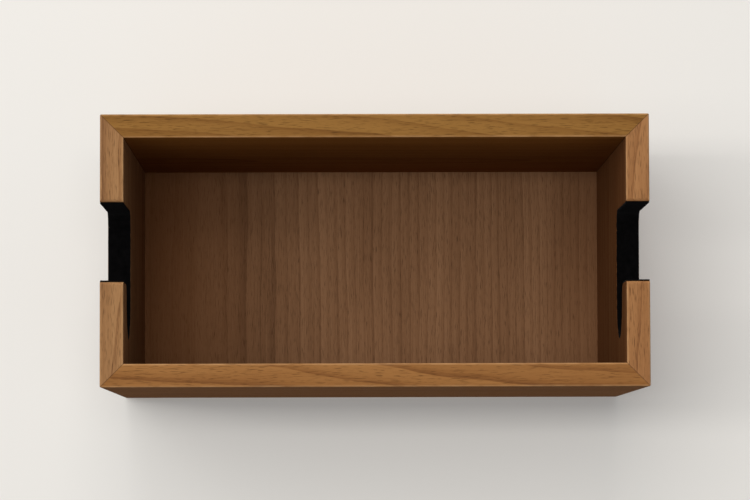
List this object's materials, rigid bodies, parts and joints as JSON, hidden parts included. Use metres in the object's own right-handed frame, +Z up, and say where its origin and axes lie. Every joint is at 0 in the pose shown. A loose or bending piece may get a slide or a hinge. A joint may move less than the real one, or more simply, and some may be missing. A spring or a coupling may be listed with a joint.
{
  "type": "bike wall mount",
  "caption": "Wall-hung mitred wooden shelf box whose side boards hold a bicycle's top tube in felt-lined J-shaped slots, on a hidden bevelled rail.",
  "frame": {"origin": "middle of the wall rail's row of two wall screws, on the rail's rear face, which is the plane of the wall", "axes": "+X to the right, +Y into the wall (the open front faces -Y), +Z up"},
  "size_m": [0.35, 0.3, 0.174],
  "materials": {
    "oiled_walnut": "oiled, satin",
    "walnut_panel": "oiled, matte",
    "wool_felt": "matte pressed felt",
    "birch_plywood": "raw",
    "birch": "planed, raw",
    "beech": "raw"
  },
  "bodies": {
    "wall_rail": {"wall_rail": "birch"},
    "hanging_box": {"top_board": "oiled_walnut", "bottom_board": "oiled_walnut", "left_side_board": "oiled_walnut", "right_side_board": "oiled_walnut", "back_panel": "walnut_panel", "left_slot_felt": "wool_felt", "right_slot_felt": "wool_felt", "top_left_tongue": "birch_plywood", "top_right_tongue": "birch_plywood", "bottom_left_tongue": "birch_plywood", "bottom_right_tongue": "birch_plywood", "hanging_cleat": "birch", "cleat_dowels": "beech"}
  },
  "joints": [
    {"name": "lift_off", "type": "slide", "parent": "wall_rail", "child": "hanging_box", "axis": [0, 0, 1], "range_m": [0, 0.014]}
  ]
}
